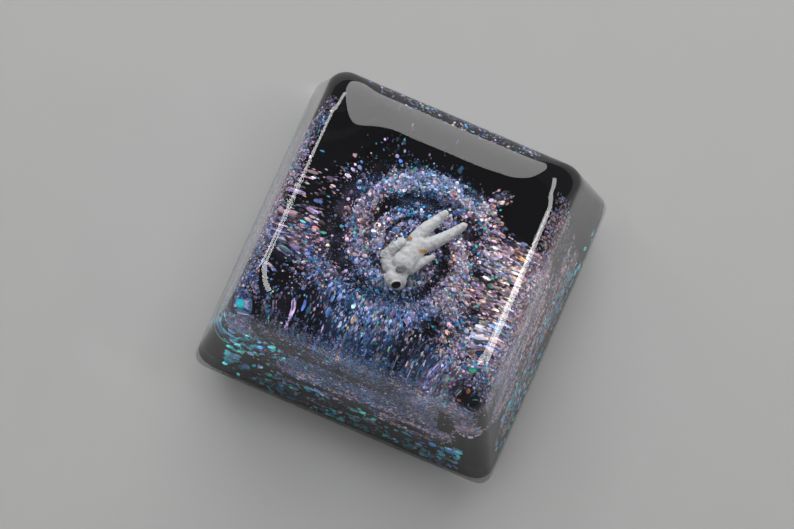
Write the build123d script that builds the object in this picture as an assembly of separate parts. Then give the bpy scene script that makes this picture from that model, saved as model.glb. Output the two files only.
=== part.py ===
from build123d import *
from math import asin, atan, cos, hypot, pi, radians, sin
import os

# Artisan keycap: a tall clear resin cap with a shallow dish, cast round a black resin core, a glitter
# swirl and a small floating astronaut. Millimetres, +Z up, origin at the middle of the skirt's underside,
# the front of the cap towards -Y.

# Clear outer body
skirt_width = 18.4
top_width = 14.6
rim_height = 12.1
skirt_corner = 0.8
wall_corner = 1.1
rim_corner = 2.8
rim_reach = 3.0
rim_drop = 2.3
dish_angle = 7.0
dish_flat = 1.7
rim_sections = 5
dish_sections = 2

# Black core inside the clear skin
clear_skin = 0.7
core_shoulder_height = 3.7
core_top_height = 5.7
core_top_width = 12.6
core_top_corner = 2.2
core_skirt_corner = 0.8

# Hollow underside
core_wall = 0.9
hollow_height = 4.7
hollow_top_width = 12.4
hollow_corner = 0.6

# Stem post with the cross slot for the switch
stem_diameter = 5.5
stem_inset = 0.6
slot_length = 4.1
slot_width_side = 1.3
slot_width_front = 1.15
slot_depth = 3.9

# Glitter swirl on top of the core, with the glitter that ran down over its shoulders
bed_margin = 0.2
bed_thickness = 0.2
drape_thickness = 0.15
drape_hem_height = 1.6
arm_count = 2
arm_half_turns = 4
arm_inner_radius = 0.56
arm_growth = 1.79
arm_width_inner = 0.3
arm_width_outer = 1.1
arm_start_angle = 0.0
bulge_diameter = 2.0
swirl_crown = 0.55
swirl_edge_height = 0.15

# Astronaut, lying on its back above the swirl with its helmet to the front
figure_gap = 0.45
figure_x = 0.62
figure_y = 0.22
torso_lean = -9.5
helmet_diameter = 1.3
helmet_reach = 0.5
collar_diameter = 1.06
collar_length = 0.6
visor_diameter = 0.62
visor_relief = 0.06
visor_tilt = 30.0
visor_turn = 24.0
torso_length = 1.95
chest_diameter = 1.46
waist_diameter = 1.22
unit_width = 0.68
unit_length = 0.48
unit_relief = 0.06
unit_tilt = 25.0
pack_width = 1.24
pack_length = 1.3
pack_depth = 0.5
pack_bevel = 0.15
upper_arm_diameter = 0.7
elbow_diameter = 0.62
forearm_diameter = 0.56
glove_diameter = 0.36
thigh_diameter = 0.9
ankle_diameter = 0.52
boot_diameter = 0.56
toe_diameter = 0.42

# Shoulder, elbow and hand of each arm, then hip, ankle and toe of each leg, measured from the hips
figure_arms = [
    ((-0.84, -1.84, 0.0), (-1.26, -1.32, 0.0), (-0.84, -0.27, 0.2)),
    ((0.14, -1.54, 0.05), (0.58, -0.92, 0.1), (1.06, -0.38, 0.18)),
]
figure_legs = [
    ((-0.26, 0.23, 0.0), (0.5, 1.88, 0.08), (0.68, 2.26, 0.18)),
    ((0.3, 0.0, 0.02), (1.7, 1.6, 0.18), (1.96, 2.0, 0.28)),
]


def outer_width(height):
    """Width of the clear body across its flat sides at a height."""
    return skirt_width + (top_width - skirt_width) * height / rim_height


def square_section(width, corner, height):
    """A rounded square, flat at a height."""
    return Pos(0, 0, height) * RectangleRounded(width, width, corner)


def rim_spread(tilt):
    """How far out and up from its middle the elliptical rim is where its surface leans out by an angle."""
    size = hypot(rim_reach * sin(tilt), rim_drop * cos(tilt))
    return rim_reach**2 * sin(tilt) / size, rim_drop**2 * cos(tilt) / size


def outer_form():
    """The whole outside of the cap: straight tapered sides, soft elliptical rim and shallow dish."""
    wall_tilt = pi / 2 - atan((skirt_width - top_width) / 2 / rim_height)
    dish_tilt = -radians(dish_angle)
    rim_base = rim_height - rim_drop
    foot_out, foot_up = rim_spread(wall_tilt)
    foot_width = outer_width(rim_base + foot_up)
    rim_middle = foot_width / 2 - foot_out
    sections = []
    for step in range(rim_sections + 1):
        along = step / rim_sections
        out, up = rim_spread(wall_tilt + (dish_tilt - wall_tilt) * along)
        corner = wall_corner + (rim_corner - wall_corner) * along
        sections.append(square_section(2 * (rim_middle + out), corner, rim_base + up))
    edge_out, edge_up = rim_spread(dish_tilt)
    edge_half = rim_middle + edge_out
    dish_radius = edge_half / sin(-dish_tilt)
    for step in range(1, dish_sections + 1):
        half = edge_half + (dish_flat / 2 - edge_half) * step / dish_sections
        roundness = 1 - (1 - rim_corner / edge_half) * (half / edge_half) ** 2
        fall = dish_radius * (cos(asin(half / dish_radius)) - cos(dish_tilt))
        sections.append(square_section(2 * half, half * roundness, rim_base + edge_up - fall))
    wall = loft([square_section(skirt_width, skirt_corner, 0), sections[0]], ruled=True)
    return wall + loft(sections)


def core_section(height, cover=0.0):
    """The core's skirt at a height, parallel to the clear sides, or what covers it by a thickness there."""
    shoulder_corner = (core_skirt_corner + core_top_corner) / 2
    corner = core_skirt_corner + (shoulder_corner - core_skirt_corner) * height / core_shoulder_height
    return square_section(outer_width(height) - 2 * (clear_skin - cover), corner + cover, height)


def shouldered_form(foot_height, top_height, cover=0.0):
    """A skirt from its foot up to the shoulders, which slope in to a flat top."""
    foot = core_section(foot_height, cover)
    shoulder = core_section(core_shoulder_height, cover)
    top = square_section(core_top_width, core_top_corner, top_height)
    return loft([foot, shoulder], ruled=True) + loft([shoulder, top], ruled=True)


def core_form():
    """The core's outside."""
    return shouldered_form(0, core_top_height)


def stem():
    """The round post under the core's ceiling, with its cross slot."""
    post_length = hollow_height - stem_inset
    upwards = (Align.CENTER, Align.CENTER, Align.MIN)
    post = Cylinder(stem_diameter / 2, post_length, align=upwards)
    cross = Box(slot_length, slot_width_side, slot_depth, align=upwards)
    cross += Box(slot_width_front, slot_length, slot_depth, align=upwards)
    return Pos(0, 0, stem_inset) * (post - cross)


def black_resin_core():
    mouth = outer_width(0) - 2 * (clear_skin + core_wall)
    hollow = loft(
        [
            square_section(mouth, hollow_corner, 0),
            square_section(hollow_top_width, hollow_corner, hollow_height),
        ],
        ruled=True,
    )
    return core_form() - hollow + stem()


def spiral_edge(start_angle, radii):
    """Half-circle arcs that join smoothly, one for each half turn, winding outwards clockwise."""
    arcs = []
    angle = radians(start_angle)
    for radius, next_radius in zip(radii, radii[1:]):
        middle = (radius - next_radius) / 2
        reach = (radius + next_radius) / 2
        along = Vector(cos(angle), sin(angle))
        aside = Vector(sin(angle), -cos(angle))
        arcs.append(ThreePointArc(along * radius, along * middle + aside * reach, along * -next_radius))
        angle -= pi
    return arcs


def spiral_arm(start_angle):
    """The plan of one arm, which widens evenly from its inner to its outer end."""
    radii = [arm_inner_radius * arm_growth**step for step in range(arm_half_turns + 1)]
    widening = (arm_width_outer - arm_width_inner) / arm_half_turns
    halves = [(arm_width_inner + widening * step) / 2 for step in range(arm_half_turns + 1)]
    inner = spiral_edge(start_angle, [radius - half for radius, half in zip(radii, halves)])
    outer = spiral_edge(start_angle, [radius + half for radius, half in zip(radii, halves)])
    ends = [Line(inner[0] @ 0, outer[0] @ 0), Line(inner[-1] @ 1, outer[-1] @ 1)]
    return make_face(inner + outer + ends)


def glitter_swirl():
    """A thin bed draped over the core's top and shoulders, with spiral arms, highest at the middle."""
    bed = shouldered_form(drape_hem_height, core_top_height + bed_thickness, drape_thickness) - core_form()
    bed_width = core_top_width - 2 * bed_margin
    bed_plan = RectangleRounded(bed_width, bed_width, core_top_corner - bed_margin)
    height = bed_thickness + swirl_crown
    rise = swirl_crown - swirl_edge_height
    crown_radius = ((bed_width / 2) ** 2 + rise**2) / (2 * rise)
    crown = Pos(0, 0, height - crown_radius) * Sphere(crown_radius)
    plan = Circle(bulge_diameter / 2)
    for arm in range(arm_count):
        plan += spiral_arm(arm_start_angle + 360 * arm / arm_count)
    raised = extrude(plan & bed_plan, height) & crown
    return bed + Pos(0, 0, core_top_height) * raised


def limb(start, end, start_diameter, end_diameter):
    """A tapered round-ended limb between two points."""
    start_radius = start_diameter / 2
    end_radius = end_diameter / 2
    axis = Vector(*end) - Vector(*start)
    lean = asin((start_radius - end_radius) / axis.length)

    def on_start(angle):
        return (start_radius * cos(angle), start_radius * sin(angle))

    def on_end(angle):
        return (end_radius * cos(angle), axis.length + end_radius * sin(angle))

    profile = make_face(
        [
            ThreePointArc(on_start(-pi / 2), on_start((lean - pi / 2) / 2), on_start(lean)),
            Line(on_start(lean), on_end(lean)),
            ThreePointArc(on_end(lean), on_end((lean + pi / 2) / 2), on_end(pi / 2)),
            Line(on_end(pi / 2), on_start(-pi / 2)),
        ]
    )
    upright = revolve(Plane.XZ * profile, Axis.Z)
    return Plane(origin=start, z_dir=axis).location * upright


def figure_head():
    """Helmet on its collar, with a raised round visor that looks up past the crown."""
    neck = Pos(0, -torso_length, 0)
    collar = neck * Rot(90, 0, 0) * Cylinder(collar_diameter / 2, collar_length)
    visor = Sphere(helmet_diameter / 2 + visor_relief) & extrude(Circle(visor_diameter / 2), helmet_diameter)
    helmet = Rot(visor_tilt, visor_turn, 0) * (Sphere(helmet_diameter / 2) + visor)
    return [collar, neck * Pos(0, -helmet_reach, 0) * helmet]


def figure_torso():
    """Round torso with the oval unit on the chest and the bevelled pack on the back."""
    chest = (0, chest_diameter / 2 - torso_length, 0)
    torso = limb((0, 0, 0), chest, waist_diameter, chest_diameter)
    unit = extrude(Ellipse(unit_width / 2, unit_length / 2), chest_diameter / 2 + unit_relief)
    pack = chamfer(Box(pack_width, pack_length, pack_depth).edges(), pack_bevel)
    return [
        torso,
        Pos(*chest) * Rot(unit_tilt, 0, 0) * unit,
        Pos(0, -torso_length / 2, -chest_diameter / 2) * pack,
    ]


def astronaut_figure():
    """The figure in its own frame, hips at the origin, helmet towards -Y and chest up, then set in place."""
    pieces = [Rot(0, 0, torso_lean) * piece for piece in figure_torso() + figure_head()]
    for shoulder, elbow, hand in figure_arms:
        pieces.append(limb(shoulder, elbow, upper_arm_diameter, elbow_diameter))
        pieces.append(limb(elbow, hand, forearm_diameter, glove_diameter))
    for hip, ankle, toe in figure_legs:
        pieces.append(limb(hip, ankle, thigh_diameter, ankle_diameter))
        pieces.append(limb(ankle, toe, boot_diameter, toe_diameter))
    figure = pieces[0].fuse(*pieces[1:])
    swirl_top = core_top_height + bed_thickness + swirl_crown
    back_depth = (chest_diameter + pack_depth) / 2
    return Pos(figure_x, figure_y, swirl_top + figure_gap + back_depth) * figure


def main():
    os.makedirs("parts", exist_ok=True)
    core = black_resin_core()
    swirl = glitter_swirl()
    figure = astronaut_figure()
    cap = outer_form() - core_form() - swirl - figure
    nodes = {
        "clear_resin_cap": cap,
        "black_resin_core": core,
        "glitter_swirl": swirl,
        "astronaut_figure": figure,
    }
    for name, shape in nodes.items():
        export_step(shape, f"parts/{name}.step")


main()
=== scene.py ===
import math
import random

import bmesh
import bpy
from mathutils import Matrix, Vector, noise


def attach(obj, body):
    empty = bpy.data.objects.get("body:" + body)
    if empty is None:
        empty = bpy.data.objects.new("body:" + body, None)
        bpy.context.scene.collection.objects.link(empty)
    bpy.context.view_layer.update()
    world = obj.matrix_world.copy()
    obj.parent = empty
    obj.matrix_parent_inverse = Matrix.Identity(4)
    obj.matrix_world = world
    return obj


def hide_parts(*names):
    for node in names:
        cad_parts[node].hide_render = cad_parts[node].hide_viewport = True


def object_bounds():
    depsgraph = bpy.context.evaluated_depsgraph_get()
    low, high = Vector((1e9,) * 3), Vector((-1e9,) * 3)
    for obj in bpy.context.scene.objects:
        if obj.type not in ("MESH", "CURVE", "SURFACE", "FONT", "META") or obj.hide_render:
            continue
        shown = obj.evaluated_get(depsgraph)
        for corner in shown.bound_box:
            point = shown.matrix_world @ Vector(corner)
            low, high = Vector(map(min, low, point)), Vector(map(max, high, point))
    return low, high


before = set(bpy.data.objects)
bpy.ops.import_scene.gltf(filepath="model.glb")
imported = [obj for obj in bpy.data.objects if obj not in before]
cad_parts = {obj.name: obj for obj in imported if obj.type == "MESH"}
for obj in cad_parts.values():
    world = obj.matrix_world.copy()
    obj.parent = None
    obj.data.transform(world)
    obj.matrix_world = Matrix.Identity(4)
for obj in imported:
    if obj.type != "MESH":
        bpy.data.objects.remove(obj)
cad_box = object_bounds()

bl_info = {
    "name": "Galaxy Keycap Looks",
    "version": (1, 0, 0),
    "blender": (4, 5, 0),
    "location": "3D View > Sidebar > Keycap",
    "description": "Dresses the packed keycap: clear resin, black core, glitter swirl and astronaut",
    "category": "Object",
}

MM = 0.001
BODY = "root"
CAP_NODE = "clear_resin_cap"
CORE_NODE = "black_resin_core"
SWIRL_NODE = "glitter_swirl"
FIGURE_NODE = "astronaut_figure"


# Settings

def length(name, description, millimetres):
    """A length setting, written in millimetres and kept in metres."""
    return bpy.props.FloatProperty(
        name=name, description=description, default=millimetres * MM, unit="LENGTH", precision=5
    )


def colour(name, description, *rgb):
    """A colour setting, in linear red, green and blue."""
    return bpy.props.FloatVectorProperty(
        name=name, description=description, default=rgb, size=3, min=0.0, max=1.0, subtype="COLOR"
    )


def turn(name, description, degrees):
    """An angle setting, written in degrees."""
    return bpy.props.FloatProperty(
        name=name, description=description, default=math.radians(degrees), subtype="ANGLE"
    )


def count(name, description, default):
    """A whole number of things, at least one."""
    return bpy.props.IntProperty(name=name, description=description, default=default, min=1)


class CapForm(bpy.types.PropertyGroup):
    """Sizes of the clear body and of the core inside it."""

    skirt_width: length("Skirt width", "Width of the clear body where it stands", 18.4)
    top_width: length("Top width", "Width that the sides would have at the rim's height", 14.6)
    rim_height: length("Rim height", "Height of the rim's crest", cad_box[1][2] / MM)
    skirt_corner: length("Skirt corner", "Corner radius at the skirt", 0.8)
    wall_corner: length("Wall corner", "Corner radius where the sides meet the rounded rim", 1.1)
    rim_corner: length("Rim corner", "Corner radius where the rounded rim meets the dish", 2.8)
    rim_reach: length("Rim reach", "How far the soft rim reaches in from the wall", 3.0)
    rim_drop: length("Rim drop", "How far the soft rim drops from its crest to the wall", 2.3)
    dish_angle: turn("Dish angle", "Slope of the dish at its edge", 7.0)
    skirt_edge: length("Skirt edge", "Radius of the polished lower edge", 0.12)
    clear_skin: length("Clear skin", "Clear resin between the core's skirt and the outside", 0.7)
    core_sink: length("Core sink", "How far the clear body reaches into the core's surface", 0.02)
    shoulder_height: length("Shoulder height", "Height where the core's shoulders start", 3.7)
    core_height: length("Core height", "Height of the core's flat top", 5.7)
    core_top_width: length("Core top width", "Width of the core's flat top", 12.6)
    core_top_corner: length("Core top corner", "Corner radius of the core's flat top", 2.2)
    core_skirt_corner: length("Core skirt corner", "Corner radius of the core's skirt", 0.8)


class SwirlForm(bpy.types.PropertyGroup):
    """Sizes of the glitter layer and of the flakes in it."""

    bed_margin: length("Bed margin", "Bare edge round the glitter layer", 0.2)
    bed_thickness: length("Bed thickness", "Thickness of the layer between the arms", 0.2)
    drape_thickness: length("Drape thickness", "Thickness of the layer down the core's sides", 0.15)
    drape_hem: length("Drape hem", "Height where the layer on the core's sides ends", 1.6)
    crown: length("Crown", "Height of the arms at the middle", 0.55)
    edge_height: length("Edge height", "Height of the arms at the layer's edge", 0.15)
    inner_radius: length("Inner radius", "Radius where the arms start", 1.0)
    growth: bpy.props.FloatProperty(
        name="Growth",
        description="How many times wider an arm's radius is after half a turn",
        default=1.79,
        min=1.01,
        max=4.0,
    )
    width_inner: length("Inner width", "Width of an arm where it starts", 0.5)
    width_outer: length("Outer width", "Width of an arm after three half turns", 1.1)
    dust_flake: length("Dust flake", "Radius of the finest flakes", 0.038)
    small_flake: length("Small flake", "Radius where fine flakes end and large ones start", 0.07)
    large_flake: length("Large flake", "Radius of the largest flakes", 0.145)
    fine_count: count("Fine flakes", "Fine flakes in the swirl", 15000)
    large_count: count("Large flakes", "Large flakes in the swirl", 4000)
    shoulder_count: count("Shoulder flakes", "Flakes on the core's shoulders and sides", 12000)
    fleck_count: count("Flecks", "Stray flecks off the core's sides", 1000)
    veil_count: count("Veil flakes", "Flakes of the veil close under the clear sides", 9500)
    veil_depth: length("Veil depth", "How far under the clear sides the veil lies", 0.35)
    seed: bpy.props.IntProperty(name="Seed", description="Seed of the scatter", default=11)


class ResinColours(bpy.types.PropertyGroup):
    """Colours of the resins and of the painted figure."""

    clear: colour("Clear resin", "Tint of the clear resin", 0.985, 0.99, 1.0)
    black: colour("Black resin", "Colour of the core", 0.002, 0.002, 0.003)
    cool_haze: colour("Cool haze", "Finest dust where the glitter is blue", 0.055, 0.1, 0.23)
    warm_haze: colour("Warm haze", "Finest dust where the glitter is pink", 0.16, 0.11, 0.16)
    suit: colour("Suit", "White paint of the suit", 0.45, 0.45, 0.455)
    # Grey of the painted shade on the suit, laid in soft noise patches, and of the specks on the chest
    # unit.
    shade_and_speck: colour("Seams", "Grey wash in the suit's folds", 0.2, 0.2, 0.21)
    visor: colour("Visor", "Black paint of the visor", 0.006, 0.006, 0.008)
    unit: colour("Chest unit", "Grey paint of the chest unit", 0.12, 0.125, 0.135)
    gold: colour("Gold", "Gold paint of the patches", 0.4, 0.21, 0.02)


class StageLook(bpy.types.PropertyGroup):
    """Floor, light and camera."""

    floor: colour("Floor", "Pale floor", 0.44, 0.437, 0.432)
    world: colour("Surroundings", "Even light from all round", 0.12, 0.121, 0.123)
    azimuth: turn("Azimuth", "How far the camera stands to the right of the front", 16.75)
    elevation: turn("Elevation", "How high the camera stands", 77.0)
    roll: turn("Roll", "How far the camera leans", -6.8)
    distance: length("Distance", "From the camera to the cap's base", 250.0)


class KeycapSettings(bpy.types.PropertyGroup):
    """All settings of the keycap."""

    cap: bpy.props.PointerProperty(type=CapForm)
    swirl: bpy.props.PointerProperty(type=SwirlForm)
    colours: bpy.props.PointerProperty(type=ResinColours)
    stage: bpy.props.PointerProperty(type=StageLook)


def settings():
    """The scene's settings of the keycap."""
    return bpy.context.scene.keycap


# Shader wiring

class Wire:
    """A shader socket. Arithmetic on it adds Math nodes, and add makes any other node."""

    def __init__(self, tree, socket=None):
        self.tree = tree
        self.socket = socket

    def add(self, kind, options=None, inputs=None, output=0):
        """Makes a node of a kind: its options are set first, then its inputs, and one output comes back."""
        node = self.tree.nodes.new(kind)
        for key, value in (options or {}).items():
            if key == "stops":
                self.set_stops(node.color_ramp, value)
            else:
                setattr(node, key, value)
        for key, value in (inputs or {}).items():
            if isinstance(value, Wire):
                self.tree.links.new(value.socket, node.inputs[key])
            else:
                node.inputs[key].default_value = value
        return Wire(self.tree, node.outputs[output] if len(node.outputs) else None)

    @staticmethod
    def set_stops(ramp, stops):
        """Gives a colour ramp its stops, each as a place and a colour."""
        while len(ramp.elements) < len(stops):
            ramp.elements.new(1.0)
        for element, (place, rgb) in zip(ramp.elements, stops):
            element.position = place
            element.color = rgba(rgb)

    def maths(self, operation, first, second):
        """A Math node on two values or wires."""
        return self.add("ShaderNodeMath", {"operation": operation}, {0: first, 1: second})

    def __add__(self, other):
        return self.maths("ADD", self, other)

    __radd__ = __add__

    def __sub__(self, other):
        return self.maths("SUBTRACT", self, other)

    def __rsub__(self, other):
        return self.maths("SUBTRACT", other, self)

    def __mul__(self, other):
        return self.maths("MULTIPLY", self, other)

    __rmul__ = __mul__

    def __lt__(self, other):
        return self.maths("LESS_THAN", self, other)

    def blend(self, low, high):
        """A colour between two others, by this value."""
        return self.add(
            "ShaderNodeMix", {"data_type": "RGBA"}, {"Factor": self, 6: low, 7: high}, 2
        )

    def smooth(self, low, high):
        """0 below low, 1 above high, and smooth between."""
        return self.add(
            "ShaderNodeMapRange",
            {"interpolation_type": "SMOOTHSTEP"},
            {"Value": self, "From Min": low, "From Max": high},
        )


def rgba(rgb):
    """A colour with full alpha."""
    return (*rgb, 1.0)


def new_finish(name):
    """An empty material and a wire to build it with."""
    material = bpy.data.materials.new(name)
    material.use_nodes = True
    material.node_tree.nodes.clear()
    return material, Wire(material.node_tree)


def close_finish(wire, shader):
    """Shows a shader on the surface."""
    wire.add("ShaderNodeOutputMaterial", None, {"Surface": shader})


def object_place(wire):
    """The place of a point of the piece, in metres."""
    return wire.add("ShaderNodeTexCoord", None, None, "Object")


def noise_value(wire, place, size, detail=3.0):
    """Soft noise with features of about a size in metres."""
    return wire.add(
        "ShaderNodeTexNoise", None, {"Vector": place, "Scale": 1.0 / size, "Detail": detail}, "Fac"
    )


# Sizes of the grain in the finishes.
POLISH_HAZE = 2.5 * MM
POLISH_WAVES = 1.6 * MM
DUST_CELL = 0.07 * MM
DUST_CLOUD = 0.6 * MM
FLAKE_SHEEN = 0.12 * MM
CORE_CELL = 0.09 * MM
CORE_CLOUD = 1.4 * MM
CORE_GRAIN = 0.4 * MM
# Size of the soft patches of painted shade on the suit.
SUIT_SHADE_SIZE = 0.35 * MM
PAINT_SPECK = 0.08 * MM
PAINT_GRAIN = 0.05 * MM
FLOOR_GRAIN = 3 * MM

# Where dust fades in on the core: out from its middle, up its sides, and how far under its shoulders.
FLANK_OUT = (6.9 * MM, 7.7 * MM)
FLANK_UP = (0.4 * MM, 2.6 * MM)
DUST_UNDER_SHOULDER = 1.0 * MM

LAMPLIGHT_THROUGH = (0.94, 0.95, 0.96)


def clear_finish():
    """Polished clear resin with faint hand-polishing marks; lamps shine through to what is cast inside."""
    material, wire = new_finish("clear resin")
    place = object_place(wire)
    haze = noise_value(wire, place, POLISH_HAZE, detail=4.0)
    waves = noise_value(wire, place, POLISH_WAVES, detail=2.0)
    bump = wire.add("ShaderNodeBump", None, {"Strength": 0.002, "Distance": 0.2 * MM, "Height": waves})
    resin = wire.add(
        "ShaderNodeBsdfPrincipled",
        None,
        {
            "Base Color": rgba(settings().colours.clear),
            "Roughness": haze.smooth(0.5, 0.85) * 0.01 + 0.004,
            "IOR": 1.54,
            "Transmission Weight": 1.0,
            "Normal": bump,
        },
    )
    lamps = wire.add("ShaderNodeBsdfTransparent", None, {"Color": rgba(LAMPLIGHT_THROUGH)})
    shadow = wire.add("ShaderNodeLightPath", None, None, "Is Shadow Ray")
    close_finish(wire, wire.add("ShaderNodeMixShader", None, {0: shadow, 1: resin, 2: lamps}))
    return material


# Shades of the finest dust along a colour ramp.
FLAKE_STOPS = [
    (0.0, (0.06, 0.10, 0.24)),
    (0.25, (0.10, 0.15, 0.30)),
    (0.45, (0.22, 0.20, 0.36)),
    (0.65, (0.36, 0.28, 0.38)),
    (0.8, (0.13, 0.24, 0.42)),
    (0.9, (0.42, 0.38, 0.46)),
    (1.0, (0.04, 0.24, 0.30)),
]


def cell_dust(wire, place, size):
    """Tiny glitter cells: each one's chance to show, shade of the flake colours, glow and soft dot."""
    cells = {"Vector": place, "Scale": 1.0 / size}
    random_colour = wire.add("ShaderNodeTexVoronoi", None, cells, "Color")
    distance = wire.add("ShaderNodeTexVoronoi", None, cells, "Distance")
    chance = wire.add("ShaderNodeSeparateColor", None, {0: random_colour}, "Red")
    pick = wire.add("ShaderNodeSeparateColor", None, {0: random_colour}, "Green")
    glow = wire.add("ShaderNodeSeparateColor", None, {0: random_colour}, "Blue")
    tint = wire.add("ShaderNodeValToRGB", {"stops": FLAKE_STOPS}, {"Fac": pick}, "Color")
    dot = 1.0 - distance.smooth(0.35, 0.6)
    return chance, tint, glow, dot


def dust_finish():
    """The glitter layer's bed: dark resin full of fine dust, thick on the arms and thin between them."""
    colours = settings().colours
    material, wire = new_finish("glitter dust")
    place = object_place(wire)
    rich = wire.add("ShaderNodeAttribute", {"attribute_name": "richness"}, None, "Fac")
    warm = wire.add("ShaderNodeAttribute", {"attribute_name": "warmth"}, None, "Fac")
    chance, tint, glow, dot = cell_dust(wire, place, DUST_CELL)
    haze = warm.blend(rgba(colours.cool_haze), rgba(colours.warm_haze))
    cloud = noise_value(wire, place, DUST_CLOUD, detail=5.0)
    base = (cloud.smooth(0.2, 0.7) * rich.smooth(0.05, 0.75)).blend(rgba(colours.black), haze)
    shown = (chance < rich * 0.9) * dot
    shader = wire.add(
        "ShaderNodeBsdfPrincipled",
        None,
        {
            "Base Color": (shown * glow).blend(base, tint),
            "Roughness": 0.55 - shown * 0.15,
            "IOR": 1.1,
        },
    )
    close_finish(wire, shader)
    return material


def flake_finish():
    """Holographic flakes, each of its own colour."""
    material, wire = new_finish("glitter flakes")
    own = wire.add("ShaderNodeAttribute", {"attribute_name": "flake_colour"}, None, "Color")
    place = object_place(wire)
    sheen = noise_value(wire, place, FLAKE_SHEEN, detail=1.0)
    shader = wire.add(
        "ShaderNodeBsdfPrincipled",
        None,
        {"Base Color": own, "Metallic": 0.5, "Roughness": 0.26 + sheen * 0.2, "IOR": 1.3},
    )
    close_finish(wire, shader)
    return material


def core_finish():
    """Black casting resin, with dust that thickens up the shoulders and down the left and right sides."""
    colours = settings().colours
    cap = settings().cap
    material, wire = new_finish("black resin")
    place = object_place(wire)
    across = wire.add("ShaderNodeSeparateXYZ", None, {0: place}, "X")
    height = wire.add("ShaderNodeSeparateXYZ", None, {0: place}, "Z")
    aside = wire.add("ShaderNodeMath", {"operation": "ABSOLUTE"}, {0: across})
    flank = aside.smooth(*FLANK_OUT) * height.smooth(*FLANK_UP)
    upper = height.smooth(cap.shoulder_height - DUST_UNDER_SHOULDER, cap.core_height)
    dusty = 1.0 - (1.0 - flank * 0.8) * (1.0 - upper)
    chance, tint, glow, dot = cell_dust(wire, place, CORE_CELL)
    cloud = noise_value(wire, place, CORE_CLOUD, detail=4.0)
    haze = flank.blend(rgba(colours.cool_haze), rgba(colours.warm_haze))
    base = (cloud.smooth(0.3, 0.75) * dusty * 0.4).blend(rgba(colours.black), haze)
    shown = (chance < 0.04 + dusty * 0.75) * dot
    rough = noise_value(wire, place, CORE_GRAIN)
    shader = wire.add(
        "ShaderNodeBsdfPrincipled",
        None,
        {
            "Base Color": (shown * glow).blend(base, tint),
            "Roughness": 0.25 + rough * 0.16,
            "IOR": 1.2,
        },
    )
    close_finish(wire, shader)
    return material


def spot(wire, place, middle, radii, turned=0.0, soft=0.12):
    """1 inside an ellipsoid given in millimetres and turned by degrees about Z, and 0 outside it."""
    middle = [value * MM for value in middle]
    radii = [value * MM for value in radii]
    back = math.radians(-turned)
    away = wire.add("ShaderNodeVectorMath", {"operation": "SUBTRACT"}, {0: place, 1: middle})
    lined_up = wire.add(
        "ShaderNodeVectorRotate", {"rotation_type": "Z_AXIS"}, {"Vector": away, "Angle": back}
    )
    in_radii = wire.add("ShaderNodeVectorMath", {"operation": "DIVIDE"}, {0: lined_up, 1: radii})
    out = wire.add("ShaderNodeVectorMath", {"operation": "LENGTH"}, {0: in_radii}, "Value")
    return 1.0 - out.smooth(1.0 - soft, 1.0 + soft)


def figure_finish():
    """White suit paint with painted grey shade in soft patches, black visor, grey chest unit and gold
    patches.
    """
    colours = settings().colours
    material, wire = new_finish("figure paint")
    place = object_place(wire)
    # Painted shade: grey laid over the white suit in soft noise patches, stronger near the left arm.
    painted_shade = noise_value(wire, place, SUIT_SHADE_SIZE, detail=5.0)
    stronger_shade = spot(wire, place, *SUIT_SHADE_SPOT, soft=0.6)
    suit = (painted_shade.smooth(0.42, 0.75) * (0.35 + stronger_shade * 0.6)).blend(rgba(colours.suit), rgba(colours.shade_and_speck))
    visor = spot(wire, place, *VISOR_SPOT)
    unit = spot(wire, place, *UNIT_SPOT)
    speck = noise_value(wire, place, PAINT_SPECK, detail=2.0)
    panel = (speck.smooth(0.4, 0.6) * 0.6).blend(rgba(colours.unit), rgba(colours.shade_and_speck))
    painted = unit.blend(suit, panel)
    for patch in GOLD_PATCHES:
        worn = spot(wire, place, *patch, soft=0.25) * speck.smooth(0.3, 0.45)
        painted = worn.blend(painted, rgba(colours.gold))
    grain = noise_value(wire, place, PAINT_GRAIN, detail=2.0)
    bump = wire.add("ShaderNodeBump", None, {"Strength": 0.12, "Distance": 0.02 * MM, "Height": grain})
    shader = wire.add(
        "ShaderNodeBsdfPrincipled",
        None,
        {
            "Base Color": visor.blend(painted, rgba(colours.visor)),
            "Roughness": 0.55 - visor * 0.35,
            "IOR": 1.3,
            "Normal": bump,
        },
    )
    close_finish(wire, shader)
    return material


# Meshes and pieces

# Steps along the parts of the clear body's outline.
CORNER_STEPS = 22
SIDE_STEPS = 14
DISH_STEPS = 24
RIM_STEPS = 30
WALL_STEPS = 14
EDGE_STEPS = 4


def square_ring(corner_steps=CORNER_STEPS, side_steps=SIDE_STEPS):
    """The points of a rounded square, each as a spot on a unit square and an outward direction."""
    ring = []
    for quarter in range(4):
        spin = Matrix.Rotation(quarter * math.pi / 2, 2)
        corner = spin @ Vector((1, 1))
        following = spin @ Vector((-1, 1))
        for step in range(corner_steps):
            angle = math.pi / 2 * step / corner_steps
            ring.append((corner, spin @ Vector((math.cos(angle), math.sin(angle)))))
        for step in range(side_steps):
            ring.append((corner.lerp(following, step / side_steps), spin @ Vector((0, 1))))
    return ring


def rounded_square(ring, width, corner, height):
    """The ring's points on a rounded square, flat at a height."""
    reach = width / 2 - corner
    flat = [square * reach + outward * corner for square, outward in ring]
    return [Vector((point.x, point.y, height)) for point in flat]


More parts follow.
